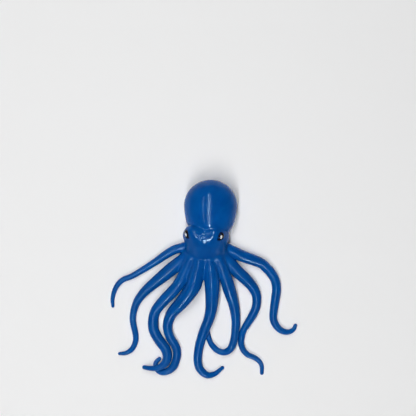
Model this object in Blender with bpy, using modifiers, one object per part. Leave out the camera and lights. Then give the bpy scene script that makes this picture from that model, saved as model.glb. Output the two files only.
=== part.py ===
"""Soft squeeze octopus, lying belly down with its arms spread.

The frame: +Z up from the table, +Y from the arms to the tip of the mantle, +X to the right.
The origin is the middle of the fill plug's flat underside.

One soft skin makes the head, the mantle and eight solid arms, and a thick syrup fills the head
and the mantle. The skin bends everywhere, so it is divided here where it bends: a ball turns in
a cup at the neck and at four places along each arm.
"""

import math

import bmesh
import bpy
import numpy as np
from mathutils import Matrix, Vector

MM = 0.001

# Driving dimensions, mm.
GAP = 0.3             # clearance between a ball and its cup, and round every inset piece
WALL = 2.0            # skin thickness over the syrup
HEAD_CENTRE = (0.2, 2.8, 9.8)
HEAD_HALF = (12.1, 10.6, 11.0)
MANTLE_CENTRE = (2.7, 24.0, 11.0)
MANTLE_HALF = (14.1, 13.5, 11.3)
MANTLE_LEAN = math.radians(-7)
NECK = (1.05, 16.5, 11.0)
NECK_R = 10.0
THROAT_R = 2.5
SYRUP_CENTRE = (0.3, 0.4, 8.6)
SYRUP_HALF = (8.4, 6.0, 5.4)
PLUG_R = 2.2
PLUG_RIM = 0.9        # thickness of the plug's rim
STEM_R = 1.2
STEM_TOP = 2.2
BROW_R = 4.6
EYE_HALF = (1.9, 2.3, 0.95)
GLINT_HALF = (0.7, 1.1, 0.4)
EYE_STANDS = 0.4      # how far a bead stands out of the skin, and a glint out of its bead
GLINT_STANDS = 0.15
CROWN_CENTRE = (0.5, -5.0, 6.4)        # the web under the arms' feet
CROWN_HALF = (10.5, 11.0, 5.2)
ROOT_DEPTH = 6.0      # how far an arm's foot runs back into the head
RING_STEP = 3.6       # spacing of the sections along an arm
LINKS = (0.2, 0.4, 0.6, 0.8, 1.0)  # an arm's joints and its tip, as fractions of its length

SKIN = (0.004, 0.066, 0.262)
SYRUP = (0.03, 0.16, 0.42)
BLACK = (0.006, 0.006, 0.007)
WHITE = (0.85, 0.87, 0.88)

# Each arm's centre line from the head to its tip: x, y, z and radius, mm. They are numbered from
# left to right. Arm 3 lies over the hook of arm 4, and arm 5 over the end of arm 6.
ARMS = {
    1: [(-12.0, 1.8, 3.5, 2.4), (-18.6, -0.7, 2.9, 2.4), (-28.7, -7.4, 2.2, 1.9),
        (-38.8, -13.5, 1.75, 1.6), (-44.1, -15.7, 1.6, 1.5), (-47.1, -18.4, 1.5, 1.4),
        (-49.0, -22.0, 1.4, 1.3), (-49.9, -26.1, 1.25, 1.15), (-49.8, -29.9, 1.0, 0.85)],
    2: [(-12.0, -4.8, 4.6, 3.2), (-18.6, -10.3, 4.2, 3.6), (-28.7, -18.5, 3.1, 2.9),
        (-33.5, -23.0, 2.6, 2.5), (-37.3, -28.6, 2.2, 2.05), (-39.1, -36.5, 1.8, 1.75),
        (-37.6, -45.3, 1.7, 1.6), (-37.8, -49.3, 1.6, 1.5), (-39.6, -52.9, 1.5, 1.4),
        (-42.6, -54.9, 1.3, 1.2), (-46.2, -55.3, 1.0, 0.85)],
    3: [(-10.2, -9.3, 8.8, 3.0), (-13.4, -16.2, 7.7, 3.15), (-17.3, -21.4, 6.4, 3.15),
        (-22.5, -26.8, 4.6, 3.0), (-26.7, -32.1, 3.2, 2.8), (-28.2, -37.5, 2.9, 2.8),
        (-27.7, -42.8, 2.9, 2.8), (-24.8, -48.2, 3.0, 2.75), (-21.7, -52.4, 3.6, 2.7),
        (-20.6, -56.2, 4.3, 2.5), (-21.4, -59.4, 4.9, 2.3), (-23.8, -61.8, 4.9, 1.8),
        (-27.3, -62.9, 4.3, 1.5), (-30.5, -62.9, 2.8, 1.3), (-33.0, -62.6, 1.6, 1.1)],
    4: [(-3.9, -8.5, 11.6, 3.7), (-5.2, -13.5, 11.0, 4.0), (-7.0, -19.5, 9.7, 4.0),
        (-12.4, -27.0, 7.2, 3.65), (-18.3, -33.8, 4.5, 3.05), (-20.5, -40.5, 2.8, 2.6),
        (-19.2, -46.3, 2.5, 2.4), (-16.4, -50.9, 2.4, 2.3), (-15.5, -54.4, 2.4, 2.3),
        (-15.8, -57.9, 2.3, 2.2), (-17.3, -62.0, 2.2, 2.1), (-20.1, -64.4, 2.0, 1.9),
        (-23.5, -65.2, 1.75, 1.65), (-25.9, -64.1, 1.5, 1.4), (-27.0, -62.0, 1.4, 1.3),
        (-26.6, -59.8, 1.35, 1.25), (-24.9, -58.1, 1.3, 1.1)],
    5: [(2.3, -8.5, 11.6, 3.6), (2.9, -13.5, 11.0, 3.95), (3.2, -19.5, 9.9, 3.9),
        (3.1, -26.8, 8.0, 3.45), (2.6, -32.1, 6.3, 3.1), (1.2, -37.5, 5.2, 2.8),
        (-1.0, -42.8, 5.0, 2.65), (-2.8, -48.2, 3.7, 2.5), (-4.0, -53.5, 2.7, 2.4),
        (-4.4, -58.9, 2.4, 2.3), (-3.6, -62.7, 2.3, 2.2), (-1.4, -65.5, 2.1, 2.0),
        (1.3, -66.8, 1.85, 1.75), (4.6, -66.1, 1.5, 1.4), (7.1, -64.3, 1.25, 1.15),
        (8.8, -62.9, 1.05, 0.95)],
    6: [(8.2, -8.6, 9.2, 3.1), (10.7, -15.6, 7.6, 3.4), (12.6, -21.4, 5.8, 3.4),
        (14.3, -26.8, 4.0, 3.05), (15.4, -32.1, 3.1, 2.7), (15.9, -37.5, 3.0, 2.4),
        (15.6, -42.8, 3.5, 2.2), (15.0, -47.5, 3.6, 2.1), (13.6, -51.7, 3.2, 2.0),
        (11.7, -53.8, 2.6, 1.85), (8.9, -54.5, 1.95, 1.7), (5.6, -53.2, 1.7, 1.6),
        (2.9, -50.3, 1.6, 1.5), (1.6, -47.3, 1.5, 1.4), (1.0, -44.3, 1.3, 1.2),
        (0.8, -41.4, 1.0, 0.85)],
    7: [(12.0, -6.0, 5.0, 3.2), (16.7, -11.3, 4.4, 3.3), (20.8, -15.1, 3.8, 3.15),
        (24.3, -18.9, 3.2, 2.9), (26.6, -23.0, 2.75, 2.6), (27.1, -27.1, 2.5, 2.4),
        (26.4, -31.4, 2.4, 2.3), (24.3, -35.7, 2.3, 2.2), (20.0, -42.8, 1.95, 1.85),
        (19.0, -46.8, 1.85, 1.75), (18.8, -50.3, 1.75, 1.65), (20.0, -53.4, 1.7, 1.6),
        (22.3, -55.9, 1.6, 1.5), (25.4, -57.2, 1.5, 1.4), (28.1, -59.0, 1.4, 1.3),
        (29.7, -61.7, 1.3, 1.2), (29.8, -65.7, 1.1, 1.0)],
    8: [(12.6, 0.3, 4.1, 2.9), (18.8, -2.9, 3.6, 3.15), (28.4, -6.5, 2.95, 2.8),
        (31.9, -9.1, 2.8, 2.7), (35.0, -12.6, 2.7, 2.6), (37.0, -16.4, 2.6, 2.5),
        (37.6, -21.0, 2.55, 2.45), (37.1, -25.5, 2.5, 2.4), (35.9, -34.7, 2.25, 2.15),
        (36.6, -38.7, 2.1, 2.0), (38.8, -41.9, 1.9, 1.8), (41.6, -43.5, 1.7, 1.6),
        (44.4, -43.6, 1.5, 1.4), (46.7, -42.4, 1.3, 1.2), (47.8, -40.3, 1.15, 1.05)],
}

# Brow centre and the way the eye on it looks.
BROWS = {
    "left": (Vector((-6.35, 7.5, 14.2)), Vector((-0.84, 0.24, 0.49))),
    "right": (Vector((4.9, 6.9, 15.2)), Vector((0.63, 0.11, 0.77))),
}


for old in list(bpy.data.objects):
    bpy.data.objects.remove(old)

parts = bpy.data.collections.new("octopus")
cutters = bpy.data.collections.new("cutters")
bpy.context.scene.collection.children.link(parts)
bpy.context.scene.collection.children.link(cutters)


def material(name, colour, roughness):
    """A plain Principled material for one piece."""
    made = bpy.data.materials.new(name)
    made.use_nodes = True
    shader = made.node_tree.nodes["Principled BSDF"]
    shader.inputs["Base Color"].default_value = (*colour, 1)
    shader.inputs["Roughness"].default_value = roughness
    return made


def finish(piece, colour, roughness=0.25):
    """Shade a finished piece smooth and give it its material."""
    piece.data.materials.append(material(piece.name, colour, roughness))
    piece.data.shade_smooth()
    piece.data.set_sharp_from_angle(angle=math.radians(50))
    return piece


def place(name, mesh, at=(0, 0, 0), home=parts):
    """An object for the mesh, with its origin at a point given in mm."""
    made = bpy.data.objects.new(name, mesh)
    made.location = Vector(at) * MM
    home.objects.link(made)
    if home is not parts:
        made.hide_render = True
        made.display_type = "WIRE"
    return made


def ellipsoid(name, half, at=(0, 0, 0), home=parts, around=16, rings=10):
    """An ellipsoid with its poles on Y. half holds its half sizes in mm."""
    bm = bmesh.new()
    bmesh.ops.create_uvsphere(bm, u_segments=around, v_segments=rings, radius=1)
    bmesh.ops.rotate(bm, matrix=Matrix.Rotation(math.pi / 2, 3, "X"), verts=bm.verts)
    bmesh.ops.scale(bm, vec=Vector(half) * MM, verts=bm.verts)
    mesh = bpy.data.meshes.new(name)
    bm.to_mesh(mesh)
    bm.free()
    return place(name, mesh, at, home)


def cylinder(name, radius, length, at, axis, home=cutters, around=16):
    """A cylinder centred at a point, along an axis."""
    bm = bmesh.new()
    bmesh.ops.create_cone(bm, cap_ends=True, segments=around, radius1=radius * MM,
                          radius2=radius * MM, depth=length * MM)
    mesh = bpy.data.meshes.new(name)
    bm.to_mesh(mesh)
    bm.free()
    made = place(name, mesh, at, home)
    made.rotation_euler = Vector(axis).to_track_quat("Z", "Y").to_euler()
    return made


def group(name, members):
    """A collection of cutters that one Boolean uses together."""
    made = bpy.data.collections.new(name)
    cutters.children.link(made)
    for member in members:
        cutters.objects.unlink(member)
        made.objects.link(member)
    return made


def combine(piece, operation, operand):
    """Add a Boolean with one cutter or with a collection of them."""
    step = piece.modifiers.new(operation.lower(), "BOOLEAN")
    step.operation = operation
    step.solver = "EXACT"
    if isinstance(operand, bpy.types.Collection):
        step.operand_type = "COLLECTION"
        step.collection = operand
    else:
        step.object = operand


def tube(name, points, radii, at, home=parts):
    """A tube through points given in mm, as a closed mesh with its origin at a point."""
    curve = bpy.data.curves.new(name, "CURVE")
    curve.dimensions = "3D"
    curve.bevel_depth = MM
    curve.bevel_resolution = 2
    curve.use_fill_caps = True
    spline = curve.splines.new("POLY")
    spline.points.add(len(points) - 1)
    for knot, point, radius in zip(spline.points, points, radii):
        knot.co = (*((Vector(point) - Vector(at)) * MM), 1)
        knot.radius = radius
    guide = place(name + "_curve", curve, at, home)
    view = bpy.context.evaluated_depsgraph_get()
    mesh = bpy.data.meshes.new_from_object(guide.evaluated_get(view))
    bm = bmesh.new()
    bm.from_mesh(mesh)
    bmesh.ops.remove_doubles(bm, verts=bm.verts, dist=0.00001)
    bmesh.ops.recalc_face_normals(bm, faces=bm.faces)
    bm.to_mesh(mesh)
    bm.free()
    bpy.data.objects.remove(guide)
    bpy.data.curves.remove(curve)
    return place(name, mesh, at, home)


def centre_line(route):
    """The route's smooth curve, as a function of the distance along it, and its length."""
    route = [np.array(point) for point in route]
    knots = [2 * route[0] - route[1], *route, 2 * route[-1] - route[-2]]
    fine = []
    for a, b, c, d in zip(knots, knots[1:], knots[2:], knots[3:]):
        for t in np.arange(0, 1, 0.05):
            square = 2 * a - 5 * b + 4 * c - d
            cube = 3 * b - a - 3 * c + d
            fine.append(b + ((c - a) * t + square * t ** 2 + cube * t ** 3) / 2)
    fine.append(route[-1])
    fine = np.array(fine)
    steps = np.linalg.norm(np.diff(fine[:, :3], axis=0), axis=1)
    along = np.concatenate([[0], np.cumsum(steps)])

    def at(distance):
        return np.array([np.interp(distance, along, column) for column in fine.T])

    return at, along[-1]


def heading(at, distance):
    """The unit direction of a centre line at a distance along it."""
    step = at(distance + 0.5)[:3] - at(max(distance - 0.5, 0))[:3]
    return step / np.linalg.norm(step)


def link_sections(at, start, end, is_tip):
    """Centres and radii of a link's sections: a ball at its start, then the arm itself."""
    centre, radius = at(start)[:3], at(start)[3]
    ahead = heading(at, start)
    points = []
    radii = []
    for turn in (20, 45, 70):
        turn = math.radians(turn)
        points.append(centre - ahead * radius * math.cos(turn))
        radii.append(radius * math.sin(turn))
    count = max(3, round((end - start) / RING_STEP))
    for distance in np.linspace(start, end, count + 1):
        section = at(distance)
        points.append(section[:3])
        radii.append(section[3])
    if is_tip:
        tip, radius = points[-1], radii[-1]
        ahead = heading(at, end - 0.5)
        for turn in (35, 65):
            turn = math.radians(turn)
            points.append(tip + ahead * radius * math.sin(turn))
            radii.append(radius * math.cos(turn))
    return points, radii


# Head: the skin with a brow over each eye and a foot for each arm. Cut from it are the syrup's
# space, the neck's cup, the arms' cups, the eye sockets, the fill port and the flat belly.
head = ellipsoid("head_skin", HEAD_HALF, HEAD_CENTRE, around=24, rings=14)
added = []
removed = []
added.append(ellipsoid("crown", CROWN_HALF, CROWN_CENTRE, cutters))
for number, route in ARMS.items():
    at, length = centre_line(route)
    root, joint = at(0), at(LINKS[0] * length)
    sections = [at(distance) for distance in np.linspace(0, LINKS[0] * length, 4)]
    points = [root[:3] - heading(at, 0) * ROOT_DEPTH, *[section[:3] for section in sections]]
    radii = [root[3], *[section[3] for section in sections]]
    added.append(tube(f"arm_{number}_foot", points, radii, root[:3], cutters))
    cup = (joint[3] + GAP,) * 3
    removed.append(ellipsoid(f"arm_{number}_cup", cup, joint[:3], cutters, around=12, rings=8))
for side, (centre, look) in BROWS.items():
    added.append(ellipsoid(f"brow_{side}", (BROW_R,) * 3, centre, cutters))
space = [half + GAP for half in SYRUP_HALF]
removed.append(ellipsoid("head_space", space, SYRUP_CENTRE, cutters))
cup = (NECK_R + GAP,) * 3
removed.append(ellipsoid("neck_cup", cup, NECK, cutters, around=24, rings=16))
removed.append(cylinder("fill_port", STEM_R + GAP, 6, (0, 0, 2.5), (0, 0, 1)))
removed.append(cylinder("port_rim", PLUG_R + GAP, 2.4, (0, 0, PLUG_RIM + GAP - 1.2), (0, 0, 1)))
removed.append(cylinder("table_head", 20, 6, (0, 4, -3), (0, 0, 1), around=24))

# Eyes: a black bead in each socket with a white glint let into its front.
for side, (centre, look) in BROWS.items():
    look = look.normalized()
    turned = look.to_track_quat("Z", "Y").to_euler()
    bead_at = centre + look * (BROW_R + EYE_STANDS - EYE_HALF[2])
    glint_at = bead_at + look * (EYE_HALF[2] + GLINT_STANDS - GLINT_HALF[2])
    socket = ellipsoid(f"eye_socket_{side}", [half + GAP for half in EYE_HALF], bead_at, cutters,
                       12, 8)
    bead = ellipsoid(f"eye_bead_{side}", EYE_HALF, bead_at, around=12, rings=8)
    seat = ellipsoid(f"glint_seat_{side}", [half + 0.2 for half in GLINT_HALF], glint_at, cutters,
                     12, 8)
    glint = ellipsoid(f"eye_glint_{side}", GLINT_HALF, glint_at, around=10, rings=6)
    for turned_piece in (socket, bead, seat, glint):
        turned_piece.rotation_euler = turned
    removed.append(socket)
    combine(bead, "DIFFERENCE", seat)
    finish(bead, BLACK, 0.12)
    finish(glint, WHITE, 0.2)

combine(head, "UNION", group("head_added", added))
combine(head, "DIFFERENCE", group("head_removed", removed))
finish(head, SKIN)

# Fill plug: a rim and a stem turned about Z.
profile = [(0, 0), (PLUG_R, 0), (PLUG_R, PLUG_RIM), (STEM_R, PLUG_RIM), (STEM_R, STEM_TOP),
           (0, STEM_TOP)]
mesh = bpy.data.meshes.new("fill_plug")
mesh.from_pydata([(x * MM, 0, z * MM) for x, z in reversed(profile)],
                 [(i, i + 1) for i in range(len(profile) - 1)], [])
plug = place("fill_plug", mesh)
turned = plug.modifiers.new("turned", "SCREW")
turned.steps = 24
turned.render_steps = 24
turned.use_merge_vertices = True
turned.merge_threshold = 0.00005
finish(plug, SKIN)

finish(ellipsoid("head_syrup", SYRUP_HALF, SYRUP_CENTRE, rings=8), SYRUP, 0.1)

# Mantle: the skin and the ball of the neck, hollow, with a throat that opens towards the head.
mantle = ellipsoid("mantle_skin", MANTLE_HALF, MANTLE_CENTRE, around=24, rings=16)
mantle.rotation_euler.z = MANTLE_LEAN
combine(mantle, "UNION", ellipsoid("neck_ball", (NECK_R,) * 3, NECK, cutters, 24, 16))
inner = [half - WALL for half in MANTLE_HALF]
space = ellipsoid("mantle_space", inner, MANTLE_CENTRE, cutters)
space.rotation_euler.z = MANTLE_LEAN
throat = cylinder("throat", THROAT_R, 12, (NECK[0], 10, NECK[2]), (0, 1, 0))
table = cylinder("table_mantle", 20, 6, (2, 26, -3), (0, 0, 1), around=24)
combine(mantle, "DIFFERENCE", group("mantle_removed", [space, throat, table]))
finish(mantle, SKIN)

filling = ellipsoid("mantle_syrup", [half - GAP for half in inner], MANTLE_CENTRE)
filling.rotation_euler.z = MANTLE_LEAN
finish(filling, SYRUP, 0.1)

# Arms: each link starts with a ball on its joint and ends in the cup of the next.
for number, route in ARMS.items():
    at, length = centre_line(route)
    parent, parent_at = head, np.array(HEAD_CENTRE)
    for index, (low, high) in enumerate(zip(LINKS, LINKS[1:]), 1):
        start, end = low * length, high * length
        joint = at(start)[:3]
        points, radii = link_sections(at, start, end, high == 1.0)
        link = tube(f"arm_{number}_link_{index}", points, radii, joint)
        if high < 1.0:
            ball = at(end)
            cup = (ball[3] + GAP,) * 3
            name = f"arm_{number}_cup_{index}"
            combine(link, "DIFFERENCE", ellipsoid(name, cup, ball[:3], cutters, 12, 8))
        finish(link, SKIN)
        link.parent = parent
        link.location = Vector(joint - parent_at) * MM
        parent, parent_at = link, joint
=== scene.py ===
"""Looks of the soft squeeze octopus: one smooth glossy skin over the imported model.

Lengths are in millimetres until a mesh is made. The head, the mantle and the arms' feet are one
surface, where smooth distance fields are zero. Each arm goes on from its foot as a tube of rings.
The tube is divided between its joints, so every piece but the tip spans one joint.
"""

import math

import bmesh
import bpy
import numpy as np
from mathutils import Matrix, Vector


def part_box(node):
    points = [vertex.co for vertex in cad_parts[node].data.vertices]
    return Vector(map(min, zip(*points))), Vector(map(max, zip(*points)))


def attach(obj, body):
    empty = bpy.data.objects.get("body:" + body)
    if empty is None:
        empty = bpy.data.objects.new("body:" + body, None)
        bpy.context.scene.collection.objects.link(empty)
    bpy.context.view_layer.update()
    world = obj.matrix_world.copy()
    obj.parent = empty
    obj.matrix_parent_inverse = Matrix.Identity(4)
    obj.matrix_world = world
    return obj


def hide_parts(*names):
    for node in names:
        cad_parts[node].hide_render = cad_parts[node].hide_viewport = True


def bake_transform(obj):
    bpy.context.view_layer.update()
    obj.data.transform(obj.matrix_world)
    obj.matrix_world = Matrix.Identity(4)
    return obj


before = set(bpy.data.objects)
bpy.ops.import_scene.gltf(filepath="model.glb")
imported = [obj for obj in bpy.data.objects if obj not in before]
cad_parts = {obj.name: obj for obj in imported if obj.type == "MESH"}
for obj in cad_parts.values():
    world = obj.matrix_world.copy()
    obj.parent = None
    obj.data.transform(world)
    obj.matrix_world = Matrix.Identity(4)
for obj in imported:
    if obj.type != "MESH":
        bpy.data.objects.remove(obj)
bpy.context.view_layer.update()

MM = 0.001

# Each arm's centre line from the head to its tip, as the model has it: x, y, z and radius.
ARMS = {
    1: [(-12.0, 1.8, 3.5, 2.4), (-18.6, -0.7, 2.9, 2.4), (-28.7, -7.4, 2.2, 1.9),
        (-38.8, -13.5, 1.75, 1.6), (-44.1, -15.7, 1.6, 1.5), (-47.1, -18.4, 1.5, 1.4),
        (-49.0, -22.0, 1.4, 1.3), (-49.9, -26.1, 1.25, 1.15), (-49.8, -29.9, 1.0, 0.85)],
    2: [(-12.0, -4.8, 4.6, 3.2), (-18.6, -10.3, 4.2, 3.6), (-28.7, -18.5, 3.1, 2.9),
        (-33.5, -23.0, 2.6, 2.5), (-37.3, -28.6, 2.2, 2.05), (-39.1, -36.5, 1.8, 1.75),
        (-37.6, -45.3, 1.7, 1.6), (-37.8, -49.3, 1.6, 1.5), (-39.6, -52.9, 1.5, 1.4),
        (-42.6, -54.9, 1.3, 1.2), (-46.2, -55.3, 1.0, 0.85)],
    3: [(-10.2, -9.3, 8.8, 3.0), (-13.4, -16.2, 7.7, 3.15), (-17.3, -21.4, 6.4, 3.15),
        (-22.5, -26.8, 4.6, 3.0), (-26.7, -32.1, 3.2, 2.8), (-28.2, -37.5, 2.9, 2.8),
        (-27.7, -42.8, 2.9, 2.8), (-24.8, -48.2, 3.0, 2.75), (-21.7, -52.4, 3.6, 2.7),
        (-20.6, -56.2, 4.3, 2.5), (-21.4, -59.4, 4.9, 2.3), (-23.8, -61.8, 4.9, 1.8),
        (-27.3, -62.9, 4.3, 1.5), (-30.5, -62.9, 2.8, 1.3), (-33.0, -62.6, 1.6, 1.1)],
    4: [(-3.9, -8.5, 11.6, 3.7), (-5.2, -13.5, 11.0, 4.0), (-7.0, -19.5, 9.7, 4.0),
        (-12.4, -27.0, 7.2, 3.65), (-18.3, -33.8, 4.5, 3.05), (-20.5, -40.5, 2.8, 2.6),
        (-19.2, -46.3, 2.5, 2.4), (-16.4, -50.9, 2.4, 2.3), (-15.5, -54.4, 2.4, 2.3),
        (-15.8, -57.9, 2.3, 2.2), (-17.3, -62.0, 2.2, 2.1), (-20.1, -64.4, 2.0, 1.9),
        (-23.5, -65.2, 1.75, 1.65), (-25.9, -64.1, 1.5, 1.4), (-27.0, -62.0, 1.4, 1.3),
        (-26.6, -59.8, 1.35, 1.25), (-24.9, -58.1, 1.3, 1.1)],
    5: [(2.3, -8.5, 11.6, 3.6), (2.9, -13.5, 11.0, 3.95), (3.2, -19.5, 9.9, 3.9),
        (3.1, -26.8, 8.0, 3.45), (2.6, -32.1, 6.3, 3.1), (1.2, -37.5, 5.2, 2.8),
        (-1.0, -42.8, 5.0, 2.65), (-2.8, -48.2, 3.7, 2.5), (-4.0, -53.5, 2.7, 2.4),
        (-4.4, -58.9, 2.4, 2.3), (-3.6, -62.7, 2.3, 2.2), (-1.4, -65.5, 2.1, 2.0),
        (1.3, -66.8, 1.85, 1.75), (4.6, -66.1, 1.5, 1.4), (7.1, -64.3, 1.25, 1.15),
        (8.8, -62.9, 1.05, 0.95)],
    6: [(8.2, -8.6, 9.2, 3.1), (10.7, -15.6, 7.6, 3.4), (12.6, -21.4, 5.8, 3.4),
        (14.3, -26.8, 4.0, 3.05), (15.4, -32.1, 3.1, 2.7), (15.9, -37.5, 3.0, 2.4),
        (15.6, -42.8, 3.5, 2.2), (15.0, -47.5, 3.6, 2.1), (13.6, -51.7, 3.2, 2.0),
        (11.7, -53.8, 2.6, 1.85), (8.9, -54.5, 1.95, 1.7), (5.6, -53.2, 1.7, 1.6),
        (2.9, -50.3, 1.6, 1.5), (1.6, -47.3, 1.5, 1.4), (1.0, -44.3, 1.3, 1.2),
        (0.8, -41.4, 1.0, 0.85)],
    7: [(12.0, -6.0, 5.0, 3.2), (16.7, -11.3, 4.4, 3.3), (20.8, -15.1, 3.8, 3.15),
        (24.3, -18.9, 3.2, 2.9), (26.6, -23.0, 2.75, 2.6), (27.1, -27.1, 2.5, 2.4),
        (26.4, -31.4, 2.4, 2.3), (24.3, -35.7, 2.3, 2.2), (20.0, -42.8, 1.95, 1.85),
        (19.0, -46.8, 1.85, 1.75), (18.8, -50.3, 1.75, 1.65), (20.0, -53.4, 1.7, 1.6),
        (22.3, -55.9, 1.6, 1.5), (25.4, -57.2, 1.5, 1.4), (28.1, -59.0, 1.4, 1.3),
        (29.7, -61.7, 1.3, 1.2), (29.8, -65.7, 1.1, 1.0)],
    8: [(12.6, 0.3, 4.1, 2.9), (18.8, -2.9, 3.6, 3.15), (28.4, -6.5, 2.95, 2.8),
        (31.9, -9.1, 2.8, 2.7), (35.0, -12.6, 2.7, 2.6), (37.0, -16.4, 2.6, 2.5),
        (37.6, -21.0, 2.55, 2.45), (37.1, -25.5, 2.5, 2.4), (35.9, -34.7, 2.25, 2.15),
        (36.6, -38.7, 2.1, 2.0), (38.8, -41.9, 1.9, 1.8), (41.6, -43.5, 1.7, 1.6),
        (44.4, -43.6, 1.5, 1.4), (46.7, -42.4, 1.3, 1.2), (47.8, -40.3, 1.15, 1.05)],
}
JOINTS = (0.2, 0.4, 0.6, 0.8)         # an arm's joints, as fractions of its length
FOOT_SHORT = 3.4                      # the foot ends this far before the arm's first joint
ROOT_DEPTH = 5.0                      # how far an arm's foot runs back into the head
FOOT_SOFT = (0.8, 1.2, 1.3, 1.4)      # how softly feet meet the body, outermost arms first
FOOT_FLARE = (0.0, 0.1, 0.15, 0.15)   # how much wider feet are at the head
FOOT_SINK = (0.0, 0.0, 1.5, 3.5)      # how much lower feet are where an arm's route starts
FOOT_FADE = 6.0                       # length over which the softness fades out before the cut
SEAM_SOFT = 0.15                      # the softness that is left at the cut
SEAM_LAP = 0.1                        # how far the foot and the tube run into each other
AROUND = 32                           # points round an arm's ring
RING_STEP = 0.6                       # spacing of the rings
TIP_TURNS = (20, 40, 58, 74, 86)      # degrees round the arm's blunt tip where its last rings lie
BEND_REACH = 4.5                      # half the length that bends at an arm's joint
BEND_SPARE = 1.5                      # skin past the last bend that still belongs to it

# Ellipsoids of the body: centre, half sizes, and lean about Z and pitch about X in degrees.
MANTLE = ((2.5, 23.7, 11.2), (14.15, 13.75, 11.15), -6, 0)
NECK = ((2.2, 15.0, 10.4), (11.7, 8.0, 8.9), -6, 0)
HEAD = ((0.0, 8.3, 10.6), (12.3, 7.2, 8.2), 0, 0)
FACE = ((0.1, 0.5, 7.2), (10.9, 14.0, 6.4), 0, 45)
BROWS = {
    "left": ((-6.0, 9.9, 14.6), (4.7, 4.3, 5.3), 0, 0),
    "right": ((4.6, 9.3, 14.9), (5.0, 4.2, 5.3), 0, 0),
}
CROWN = ((0.5, -5.0, 4.6), (10.5, 11.0, 3.8), 0, 0)
FILLING = ((0.3, 3.4, 8.0), (8.0, 5.0, 5.0))      # the syrup in the head: centre and half sizes
NECK_SOFT = 5.0                       # how softly the neck meets the mantle
FACE_SOFT = 4.0
BROW_SOFT = 2.5
CREASE_SOFT = 0.6                     # the crease between the head and the mantle
CROWN_SOFT = 3.0
BELLY = 0.03                          # height of the flat belly above the table
BELLY_SOFT = 0.5
SOCKET_GAP = 0.1                      # between an eye bead and its socket
SOCKET_SOFT = 0.4
WRINKLES = ((-1.7, 7.4), (2.4, 1.6), 0.09, 1.5)    # on the forehead: place, spread, depth, pitch
WRINKLE_BOW = 0.15                    # how much the wrinkles curve
EYE_HALF = (1.9, 2.3, 0.95)
EYE_LOOKS = {"left": (-0.72, -0.25, 0.6), "right": (0.4, -0.35, 0.85)}    # the way each eye faces
EYE_STANDS = 0.4                      # how far an eye bead stands out of the skin
GLINT_HALF = (0.74, 1.14, 0.4)
GLINT_STANDS = 0.12                   # how far a glint stands out of its bead
NECK_BEND = (10.5, 20.5)              # Y where the neck starts and ends its bend
NECK_SPARE = 1.0                      # skin past the bend that still belongs to the neck
VOXEL = 0.45                          # mesh size of the head, the neck and the mantle
SAMPLE = 0.25                         # spacing of a centre line's samples
NEAR = 9.0                            # a foot's field is worked out within this reach
FAR = 50.0                            # the field beyond it
BLOCK = 4000                          # points worked out at a time

CAMERA_AT = (1.07, 22.5)              # above this point
CAMERA_UP = 900.0
FIELD = 222.6                         # width of the camera's view at the table
SENSOR = 36.0

# The room, in metres and watts. Every lamp's long side runs along Y.
FLOOR = 3.0                           # the floor's side
LAMP_UP = 0.95
CEILING = ((-0.09, -0.1), (0.1, 1.6), 10.4)          # soft light: place, size and power
STREAK = ((-0.09, -0.26), (0.07, 2.2), 50.0)         # the bright line in the gloss
STREAK_SIDE = ((-0.46, 0.0), (0.06, 1.4), 1.6)       # the faint line beside it


# ---------------------------------------------------------------- centre lines

def centre_line(route):
    """Samples of the smooth curve through a route: centres, radii, headings and distances."""
    route = [np.array(point) for point in route]
    knots = [2 * route[0] - route[1], *route, 2 * route[-1] - route[-2]]
    fine = []
    for a, b, c, d in zip(knots, knots[1:], knots[2:], knots[3:]):
        for t in np.arange(0, 1, 0.05):
            square = 2 * a - 5 * b + 4 * c - d
            cube = 3 * b - a - 3 * c + d
            fine.append(b + ((c - a) * t + square * t ** 2 + cube * t ** 3) / 2)
    fine.append(route[-1])
    fine = np.array(fine)
    steps = np.linalg.norm(np.diff(fine[:, :3], axis=0), axis=1)
    along = np.concatenate([[0], np.cumsum(steps)])
    evenly = np.linspace(0, along[-1], int(along[-1] / SAMPLE))
    even = np.column_stack([np.interp(evenly, along, column) for column in fine.T])
    heading = np.gradient(even[:, :3], axis=0)
    heading /= np.linalg.norm(heading, axis=1)[:, None]
    return {"centre": even[:, :3], "radius": even[:, 3], "heading": heading, "along": evenly,
            "length": along[-1]}


def at(line, distance, what="centre"):
    """A centre line's centre, radius or heading at a distance along it."""
    values = line[what]
    if values.ndim == 1:
        return np.interp(distance, line["along"], values)
    return np.array([np.interp(distance, line["along"], column) for column in values.T])


# ---------------------------------------------------------------- distance fields

def axes_of(lean, pitch):
    """The axes of an ellipsoid, as columns."""
    return np.array(Matrix.Rotation(math.radians(lean), 3, "Z")
                    @ Matrix.Rotation(math.radians(pitch), 3, "X"))


def ellipsoid_field(points, shape):
    """Distance to an ellipsoid's surface, close enough near it."""
    centre, half, lean, pitch = shape
    local = (points - np.array(centre)) @ axes_of(lean, pitch)
    first = np.linalg.norm(local / np.array(half), axis=1)
    second = np.linalg.norm(local / np.array(half) ** 2, axis=1)
    return first * (first - 1) / np.maximum(second, 1e-6)


def foot_field(points, foot):
    """Distance to an arm's foot, and how far along the arm its nearest point is."""
    field = np.full(len(points), FAR)
    along = np.zeros(len(points))
    low, high = foot["centre"].min(axis=0) - NEAR, foot["centre"].max(axis=0) + NEAR
    close = np.flatnonzero(((points > low) & (points < high)).all(axis=1))
    for block in np.array_split(close, len(close) // BLOCK + 1):
        here = points[block]
        away = ((here[:, None, :] - foot["centre"][None]) ** 2).sum(axis=2)
        nearest = away.argmin(axis=1)
        reach = here - foot["centre"][nearest]
        heading = foot["heading"][nearest]
        on = np.clip((reach * heading).sum(axis=1), -SAMPLE, SAMPLE)
        field[block] = np.linalg.norm(reach - on[:, None] * heading, axis=1)
        field[block] -= foot["radius"][nearest]
        along[block] = foot["along"][nearest] + on
    return field, along


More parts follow.
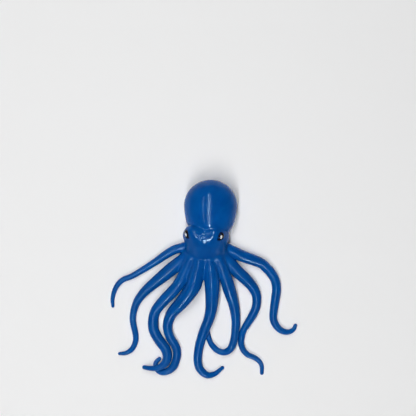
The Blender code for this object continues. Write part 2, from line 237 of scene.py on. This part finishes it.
def join(a, b, soft):
    """Smooth union of two fields, rounding the crease between them over a length."""
    share = np.clip(0.5 + 0.5 * (b - a) / soft, 0, 1)
    return b * (1 - share) + a * share - soft * share * (1 - share)


def cut_away(a, b, soft):
    """Smooth removal of field b from field a."""
    return -join(-a, b, soft)


def wrinkle(points):
    """Height of the fine wrinkles between the brows."""
    place, spread, depth, pitch = WRINKLES
    x, y = ((points[:, :2] - place) / spread).T
    bowed = points[:, 1] - place[1] + WRINKLE_BOW * points[:, 0] ** 2
    wave = np.cos(2 * math.pi * bowed / pitch)
    return np.where(points[:, 2] > HEAD[0][2], depth * wave * np.exp(-x ** 2 - y ** 2), 0)


def whole_field(points):
    """The head, the mantle and the arms' feet as one field."""
    mantle = join(ellipsoid_field(points, MANTLE), ellipsoid_field(points, NECK), NECK_SOFT)
    head = join(ellipsoid_field(points, HEAD), ellipsoid_field(points, FACE), FACE_SOFT)
    for brow in BROWS.values():
        head = join(head, ellipsoid_field(points, brow), BROW_SOFT)
    head = head - wrinkle(points)
    body = join(mantle, head, CREASE_SOFT)
    body = join(body, ellipsoid_field(points, CROWN), CROWN_SOFT)
    fields, fades = [], []
    for foot in feet.values():
        field, along = foot_field(points, foot)
        left = np.clip((foot["cut"] - along) / FOOT_FADE, 0, 1)
        fields.append(field)
        fades.append(left ** 2 * (3 - 2 * left))
    weights = np.exp(-np.array(fields)) + 1e-30
    fade = (weights * np.array(fades)).sum(axis=0) / weights.sum(axis=0)
    for field, foot in zip(fields, feet.values()):
        body = join(body, field, foot["soft"] * fade + SEAM_SOFT)
    return body


def body_field(points):
    """The body with its eye sockets and its flat belly."""
    body = whole_field(points)
    for bead in eye_shapes.values():
        body = cut_away(body, eye_field(points, bead) - SOCKET_GAP, SOCKET_SOFT)
    return cut_away(body, points[:, 2] - BELLY, BELLY_SOFT)


def eye_field(points, bead):
    """Distance to an eye bead, an ellipsoid in its own turned axes."""
    centre, axes, half = bead
    local = (points - centre) @ axes.T
    return ellipsoid_field(local, ((0, 0, 0), half, 0, 0))


def slope(points, field, step=0.02):
    """The field's gradient."""
    columns = []
    for axis in range(3):
        shift = np.zeros(3)
        shift[axis] = step
        columns.append((field(points + shift) - field(points - shift)) / (2 * step))
    return np.column_stack(columns)


# ---------------------------------------------------------------- meshes

def make_object(name, mesh):
    """Link a mesh as a new object of the scene."""
    made = bpy.data.objects.new(name, mesh)
    bpy.context.scene.collection.objects.link(made)
    return made


def rounded(name, centre, axes, half, depth=0.0):
    """An ellipsoid with its axes as rows, moved by a depth along the last one."""
    bm = bmesh.new()
    bmesh.ops.create_uvsphere(bm, u_segments=40, v_segments=24, radius=1)
    for vert in bm.verts:
        local = np.array(vert.co[:]) * half + np.array((0, 0, depth))
        vert.co = Vector((centre + local @ axes) * MM)
    mesh = bpy.data.meshes.new(name)
    bm.to_mesh(mesh)
    bm.free()
    mesh.shade_smooth()
    return make_object(name, mesh)


def surface(name, points, faces, normals=None):
    """A smooth mesh object from points in mm, with given normals where it has an open edge."""
    mesh = bpy.data.meshes.new(name)
    mesh.from_pydata((np.asarray(points) * MM).tolist(), [], [list(map(int, f)) for f in faces])
    mesh.shade_smooth()
    if normals is not None:
        mesh.normals_split_custom_set_from_vertices(np.asarray(normals).tolist())
    return make_object(name, mesh)


def rough_body():
    """A voxel mesh of the body's shapes, to be drawn onto the field."""
    bm = bmesh.new()
    for centre, half, lean, pitch in (MANTLE, NECK, HEAD, FACE, CROWN, *BROWS.values()):
        made = bmesh.ops.create_uvsphere(bm, u_segments=48, v_segments=32, radius=1)["verts"]
        axes = axes_of(lean, pitch)
        for vert in made:
            vert.co = np.array(centre) + axes @ (np.array(vert.co[:]) * half)
    for foot in feet.values():
        for centre, radius in zip(foot["centre"][::3], foot["radius"][::3]):
            made = bmesh.ops.create_icosphere(bm, subdivisions=2, radius=radius)["verts"]
            bmesh.ops.translate(bm, vec=Vector(centre), verts=made)
    mesh = bpy.data.meshes.new("rough_body")
    bm.to_mesh(mesh)
    bm.free()
    rough = make_object("rough_body", mesh)
    step = rough.modifiers.new("voxels", "REMESH")
    step.mode = "VOXEL"
    step.voxel_size = VOXEL
    view = bpy.context.evaluated_depsgraph_get()
    drawn = bpy.data.meshes.new_from_object(rough.evaluated_get(view))
    bpy.data.objects.remove(rough)
    return drawn


def relaxed(points, edges, rounds, keep=0.4):
    """Points moved towards the mean of their neighbours, keeping a share of their own place."""
    for _ in range(rounds):
        total = np.zeros_like(points)
        count = np.zeros(len(points))
        for a, b in ((0, 1), (1, 0)):
            np.add.at(total, edges[:, a], points[edges[:, b]])
            np.add.at(count, edges[:, a], 1)
        points = points * keep + (1 - keep) * total / count[:, None]
    return points


def on_field(points, field, rounds, longest=0.5):
    """Points drawn onto the field's surface along its slope, no further than longest a round."""
    for _ in range(rounds):
        gradient = slope(points, field)
        size = np.maximum((gradient ** 2).sum(axis=1), 0.05)
        shift = -(field(points) / size)[:, None] * gradient
        length = np.linalg.norm(shift, axis=1)[:, None]
        points = points + shift * np.minimum(1, longest / np.maximum(length, 1e-9))
    return points


def foot_faces(bm, which, centre, ahead, slack):
    """The numbers of the faces that lie on the foot in that place and past a plane across it."""
    middles = np.array([face.calc_center_median()[:] for face in bm.faces])
    past = (middles - centre) @ (ahead / np.linalg.norm(ahead))
    close = (past > slack) & (np.linalg.norm(middles - centre, axis=1) < NEAR)
    chosen = np.flatnonzero(close)
    fields = np.array([foot_field(middles[chosen], foot)[0] for foot in feet.values()])
    return chosen[fields.argmin(axis=0) == which]


def body_skin():
    """The body's surface with its normals, cut off where each arm's tube takes over."""
    rough = rough_body()
    edges = np.array([edge.vertices[:] for edge in rough.edges])
    points = np.array([vert.co[:] for vert in rough.vertices])
    for rounds in (6, 2, 1):
        points = relaxed(points, edges, rounds)
        points = on_field(points, body_field, 3)
    rough.vertices.foreach_set("co", points.ravel())
    bm = bmesh.new()
    bm.from_mesh(rough)
    for which, line in enumerate(lines.values()):
        centre, ahead = (at(line, line["cut"] + SEAM_LAP, what) for what in ("centre", "heading"))
        bm.faces.ensure_lookup_table()
        near = [bm.faces[i] for i in foot_faces(bm, which, centre, ahead, -1.0)]
        parts = set(near)
        parts.update(edge for face in near for edge in face.edges)
        parts.update(vert for face in near for vert in face.verts)
        bmesh.ops.bisect_plane(bm, geom=list(parts), dist=0.001, plane_co=centre,
                               plane_no=ahead)
        bm.faces.ensure_lookup_table()
        gone = [bm.faces[i] for i in foot_faces(bm, which, centre, ahead, 0.0)]
        bmesh.ops.delete(bm, geom=gone, context="FACES")
    bmesh.ops.delete(bm, geom=[v for v in bm.verts if not v.link_faces], context="VERTS")
    bm.to_mesh(rough)
    bm.free()
    points = np.array([vert.co[:] for vert in rough.vertices])
    faces = [face.vertices[:] for face in rough.polygons]
    normals = slope(points, body_field)
    normals /= np.linalg.norm(normals, axis=1)[:, None]
    return points, faces, normals


def split(name, points, faces, normals, keep):
    """A piece made of the faces whose numbers are kept."""
    chosen = [faces[i] for i in keep]
    used = sorted({v for face in chosen for v in face})
    number = {v: i for i, v in enumerate(used)}
    chosen = [[number[v] for v in face] for face in chosen]
    return surface(name, points[used], chosen, normals[used])


def arm_rings(line, stops):
    """Rings of an arm's tube from its cut to its tip, and the ring at each stop."""
    distances = []
    marks = [0]
    for low, high in zip(stops, stops[1:]):
        count = max(2, round((high - low) / RING_STEP))
        distances.extend(np.linspace(low, high, count, endpoint=False))
        marks.append(len(distances))
    rings = []
    turns = np.arange(AROUND) * 2 * math.pi / AROUND
    ends = [(stops[-1], 1.0, 0.0)]
    for turn in np.radians(TIP_TURNS):
        ends.append((stops[-1], math.cos(turn), math.sin(turn)))
    for distance, share, ahead in [(d, 1.0, 0.0) for d in distances] + ends:
        centre, heading = at(line, distance), at(line, distance, "heading")
        heading /= np.linalg.norm(heading)
        radius = at(line, distance, "radius")
        side = np.cross(heading, (0, 0, 1))
        side /= np.linalg.norm(side)
        up = np.cross(side, heading)
        middle = centre + heading * radius * ahead
        rings.append(middle + radius * share * (np.outer(np.cos(turns), up)
                                                + np.outer(np.sin(turns), side)))
    return np.array(rings), marks


def ring_faces(rows, closed_end):
    """Quads between rows of AROUND points, and a cap on the last row."""
    faces = []
    for row in range(rows - 1):
        for i in range(AROUND):
            j = (i + 1) % AROUND
            faces.append((row * AROUND + i, row * AROUND + j,
                          (row + 1) * AROUND + j, (row + 1) * AROUND + i))
    if closed_end:
        faces.append([(rows - 1) * AROUND + i for i in range(AROUND)])
    return faces


def ring_normals(rings):
    """Outward normals of a tube of rings."""
    around = np.roll(rings, -1, axis=1) - np.roll(rings, 1, axis=1)
    along = np.gradient(rings, axis=0)
    normals = np.cross(along, around)
    middle = rings.mean(axis=1, keepdims=True)
    outward = np.sign(((rings - middle) * normals).sum(axis=2, keepdims=True))
    normals *= outward
    return normals / np.maximum(np.linalg.norm(normals, axis=2, keepdims=True), 1e-9)


# ---------------------------------------------------------------- materials

def shader_of(name):
    """A new material with its nodes, its links and its Principled shader."""
    made = bpy.data.materials.new(name)
    made.use_nodes = True
    nodes, links = made.node_tree.nodes, made.node_tree.links
    return made, nodes, links, nodes["Principled BSDF"]


def noise(nodes, links, place, scale, detail=3.0):
    """Noise over the object's own coordinates."""
    made = nodes.new("ShaderNodeTexNoise")
    made.inputs["Scale"].default_value = scale
    made.inputs["Detail"].default_value = detail
    links.new(place.outputs["Object"], made.inputs["Vector"])
    return made.outputs["Fac"]


def ramp(nodes, links, value, low, high, start=0.35, end=0.65):
    """Colours or greys between two values of a noise."""
    made = nodes.new("ShaderNodeValToRGB")
    made.color_ramp.elements[0].position = start
    made.color_ramp.elements[1].position = end
    made.color_ramp.elements[0].color = (*low, 1)
    made.color_ramp.elements[1].color = (*high, 1)
    links.new(value, made.inputs["Fac"])
    return made.outputs["Color"]


def rubber(name, deep, light):
    """Soft glossy rubber: cloudy pigment, a faintly uneven gloss and a fine moulded ripple."""
    made, nodes, links, shader = shader_of(name)
    place = nodes.new("ShaderNodeTexCoord")
    cloud = noise(nodes, links, place, 140.0)
    links.new(ramp(nodes, links, cloud, deep, light), shader.inputs["Base Color"])
    smear = noise(nodes, links, place, 420.0, 4.0)
    gloss = ramp(nodes, links, smear, (0.09,) * 3, (0.14,) * 3)
    links.new(gloss, shader.inputs["Roughness"])
    ripple = noise(nodes, links, place, 900.0, 2.0)
    bump = nodes.new("ShaderNodeBump")
    bump.inputs["Strength"].default_value = 0.08
    bump.inputs["Distance"].default_value = 0.0001
    links.new(ripple, bump.inputs["Height"])
    links.new(bump.outputs["Normal"], shader.inputs["Normal"])
    shader.inputs["Subsurface Weight"].default_value = 0.15
    shader.inputs["Subsurface Radius"].default_value = (0.1, 0.35, 1.0)
    shader.inputs["Subsurface Scale"].default_value = 0.0012
    shader.inputs["IOR"].default_value = 1.5
    shader.inputs["Specular IOR Level"].default_value = 0.22
    shader.inputs["Specular Tint"].default_value = (0.5, 0.82, 1, 1)
    return made


def glossy(name, low, high, roughness):
    """Hard glossy plastic with a slight unevenness."""
    made, nodes, links, shader = shader_of(name)
    place = nodes.new("ShaderNodeTexCoord")
    cloud = noise(nodes, links, place, 1500.0)
    links.new(ramp(nodes, links, cloud, low, high), shader.inputs["Base Color"])
    fine = noise(nodes, links, place, 4000.0)
    gloss = ramp(nodes, links, fine, (roughness * 0.8,) * 3, (roughness * 1.3,) * 3)
    links.new(gloss, shader.inputs["Roughness"])
    shader.inputs["Specular IOR Level"].default_value = 0.25
    return made


def syrup_material():
    """Thick blue syrup, cloudy."""
    made, nodes, links, shader = shader_of("syrup")
    place = nodes.new("ShaderNodeTexCoord")
    cloud = noise(nodes, links, place, 300.0)
    low, high = (0.02, 0.12, 0.36), (0.05, 0.2, 0.5)
    links.new(ramp(nodes, links, cloud, low, high), shader.inputs["Base Color"])
    shader.inputs["Roughness"].default_value = 0.08
    return made


# ---------------------------------------------------------------- the octopus

lines = {number: centre_line(route) for number, route in ARMS.items()}
feet = {}
for number, line in lines.items():
    line["joints"] = [share * line["length"] for share in JOINTS]
    line["cut"] = line["joints"][0] - FOOT_SHORT
    rank = min(number, 9 - number) - 1
    back = np.arange(-ROOT_DEPTH, 0, SAMPLE)
    inside = line["along"] < line["joints"][0]
    along = np.concatenate([back, line["along"][inside]])
    flare = FOOT_FLARE[rank] * np.clip(1 - along / line["cut"], 0, 1) ** 2
    centre = np.vstack([line["centre"][0] + back[:, None] * line["heading"][0],
                        line["centre"][inside]])
    centre[:, 2] -= FOOT_SINK[rank] * np.maximum(1 - along / line["cut"], 0) ** 1.5
    feet[number] = {
        "centre": centre,
        "radius": np.interp(along, line["along"], line["radius"]) + flare,
        "heading": np.vstack([np.repeat(line["heading"][:1], len(back), axis=0),
                              line["heading"][inside]]),
        "along": along, "cut": line["cut"], "soft": FOOT_SOFT[rank]}


def seated(place, look):
    """An eye bead's centre and axes, set into the skin above or below a place, facing its look."""
    heights = np.linspace(HEAD[0][2], 25, 1001)
    column = np.column_stack([np.repeat([place[:2]], len(heights), axis=0), heights])
    top = column[np.abs(whole_field(column)).argmin()]
    look = np.array(look) / np.linalg.norm(look)
    across = np.cross((0, 1, 0), look)
    across /= np.linalg.norm(across)
    centre = top + look * (EYE_STANDS - EYE_HALF[2])
    return centre, np.array([across, np.cross(look, across), look])


eye_shapes = {}
for side in BROWS:
    low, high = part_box(f"eye_glint_{side}")
    place = np.array((low + high) / 2) / MM
    eye_shapes[side] = (*seated(place, EYE_LOOKS[side]), EYE_HALF)

skin = rubber("skin_rubber", (0.0004, 0.072, 0.31), (0.001, 0.091, 0.37))
black = glossy("eye_black", (0.004, 0.004, 0.005), (0.01, 0.01, 0.011), 0.1)
white = glossy("eye_white", (0.8, 0.82, 0.83), (0.88, 0.89, 0.9), 0.15)
syrup = syrup_material()

points, faces, normals = body_skin()
middles = np.array([points[list(face)].mean(axis=0) for face in faces])
is_mantle = middles[:, 1] > NECK_BEND[1] + NECK_SPARE
is_neck = (middles[:, 1] > NECK_BEND[0] - NECK_SPARE) & ~is_mantle
is_head = ~is_mantle & ~is_neck
made_head = split("octopus_head", points, faces, normals, np.flatnonzero(is_head))
made_neck = split("octopus_neck", points, faces, normals, np.flatnonzero(is_neck))
made_mantle = split("octopus_mantle", points, faces, normals, np.flatnonzero(is_mantle))
for piece in (made_head, made_neck, made_mantle):
    piece.data.materials.append(skin)
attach(made_head, "head")
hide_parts("head_skin")
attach(made_mantle, "mantle")
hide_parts("mantle_skin")
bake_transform(made_neck)

for number, line in lines.items():
    halfway = [(a + b) / 2 for a, b in zip(line["joints"], line["joints"][1:])]
    last = line["joints"][-1]
    halfway.append(min(last + BEND_REACH + BEND_SPARE, (last + line["length"]) / 2))
    rings, marks = arm_rings(line, [line["cut"], *halfway, line["length"]])
    normals = ring_normals(rings)
    bodies = ["head", *(f"arm_{number}_{i}" for i in range(1, 5))]
    for i, (low, high) in enumerate(zip(marks, marks[1:])):
        is_tip = high == marks[-1]
        rows = rings[low:] if is_tip else rings[low:high + 1]
        row_normals = normals[low:low + len(rows)]
        name = f"arm_{number}_tip" if is_tip else f"arm_{number}_bend_{i + 1}"
        piece = surface(name, rows.reshape(-1, 3), ring_faces(len(rows), is_tip),
                        row_normals.reshape(-1, 3))
        piece.data.materials.append(skin)
        if is_tip:
            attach(piece, bodies[-1])
            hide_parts(f"arm_{number}_link_4")
        else:
            joint, ahead = at(line, line["joints"][i]), at(line, line["joints"][i], "heading")
            ahead /= np.linalg.norm(ahead)
            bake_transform(piece)
            if i > 0:
                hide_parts(f"arm_{number}_link_{i}")

for side, (centre, axes, half) in eye_shapes.items():
    for name, size, at_depth, coat, node in (
            ("eye", half, 0.0, black, "bead"),
            ("glint", GLINT_HALF, half[2] + GLINT_STANDS - GLINT_HALF[2], white, "glint")):
        piece = rounded(f"{name}_{side}", centre, axes, size, at_depth)
        piece.data.materials.append(coat)
        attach(piece, "head")
        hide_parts(f"eye_{node}_{side}")

filling = rounded("head_filling", np.array(FILLING[0]), np.eye(3), FILLING[1])
filling.data.materials.append(syrup)
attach(filling, "head")
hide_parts("head_syrup")

for node, made in (("fill_plug", skin), ("mantle_syrup", syrup)):
    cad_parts[node].data.materials.clear()
    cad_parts[node].data.materials.append(made)

# ---------------------------------------------------------------- floor, camera and light

floor_mesh = bpy.data.meshes.new("floor")
edge = FLOOR / 2
floor_mesh.from_pydata([(-edge, -edge, 0), (edge, -edge, 0), (edge, edge, 0), (-edge, edge, 0)],
                       [], [(0, 1, 2, 3)])
floor = make_object("floor", floor_mesh)
paper, nodes, links, shader = shader_of("floor_paper")
shader.inputs["Base Color"].default_value = (0.97, 0.97, 0.97, 1)
shader.inputs["Roughness"].default_value = 0.6
shader.inputs["Specular IOR Level"].default_value = 0
floor_mesh.materials.append(paper)

camera = bpy.data.cameras.new("camera")
camera.sensor_width = SENSOR
camera.lens = SENSOR * CAMERA_UP / FIELD
viewer = bpy.data.objects.new("camera", camera)
viewer.location = (CAMERA_AT[0] * MM, CAMERA_AT[1] * MM, CAMERA_UP * MM)
camera.clip_start = 0.01
camera.clip_end = 10
bpy.context.scene.collection.objects.link(viewer)
bpy.context.scene.camera = viewer


def lamp(name, place, aim, size, power, glossy=True, diffuse=True):
    """An area light at a place, facing an aim, lighting the gloss, the colour or both."""
    data = bpy.data.lights.new(name, "AREA")
    data.shape = "RECTANGLE"
    data.size, data.size_y = size
    data.energy = power
    back = (Vector(place) - Vector(aim)).normalized()
    across = Vector((0, 1, 0)).cross(back).normalized()
    made = bpy.data.objects.new(name, data)
    made.matrix_world = Matrix((across, back.cross(across), back)).transposed().to_4x4()
    made.location = place
    made.visible_glossy = glossy
    made.visible_diffuse = diffuse
    bpy.context.scene.collection.objects.link(made)


for name, (place, size, power), aim, seen in (
        ("ceiling", CEILING, CEILING[0], {"glossy": False}),
        ("streak", STREAK, STREAK[0], {"diffuse": False}),
        ("streak_side", STREAK_SIDE, (0, 0), {"diffuse": False})):
    lamp(name, (*place, LAMP_UP), (*aim, 0), size, power, **seen)

world = bpy.data.worlds.new("room")
bpy.context.scene.world = world
world.use_nodes = True
nodes, links = world.node_tree.nodes, world.node_tree.links
direction = nodes.new("ShaderNodeTexCoord")
split_up = nodes.new("ShaderNodeSeparateXYZ")
links.new(direction.outputs["Generated"], split_up.inputs["Vector"])
glow = ramp(nodes, links, split_up.outputs["Z"], (0.27, 0.28, 0.3), (0.03, 0.03, 0.03), 0.0, 0.5)
links.new(glow, nodes["Background"].inputs["Color"])
bpy.context.scene.view_settings.view_transform = "Standard"
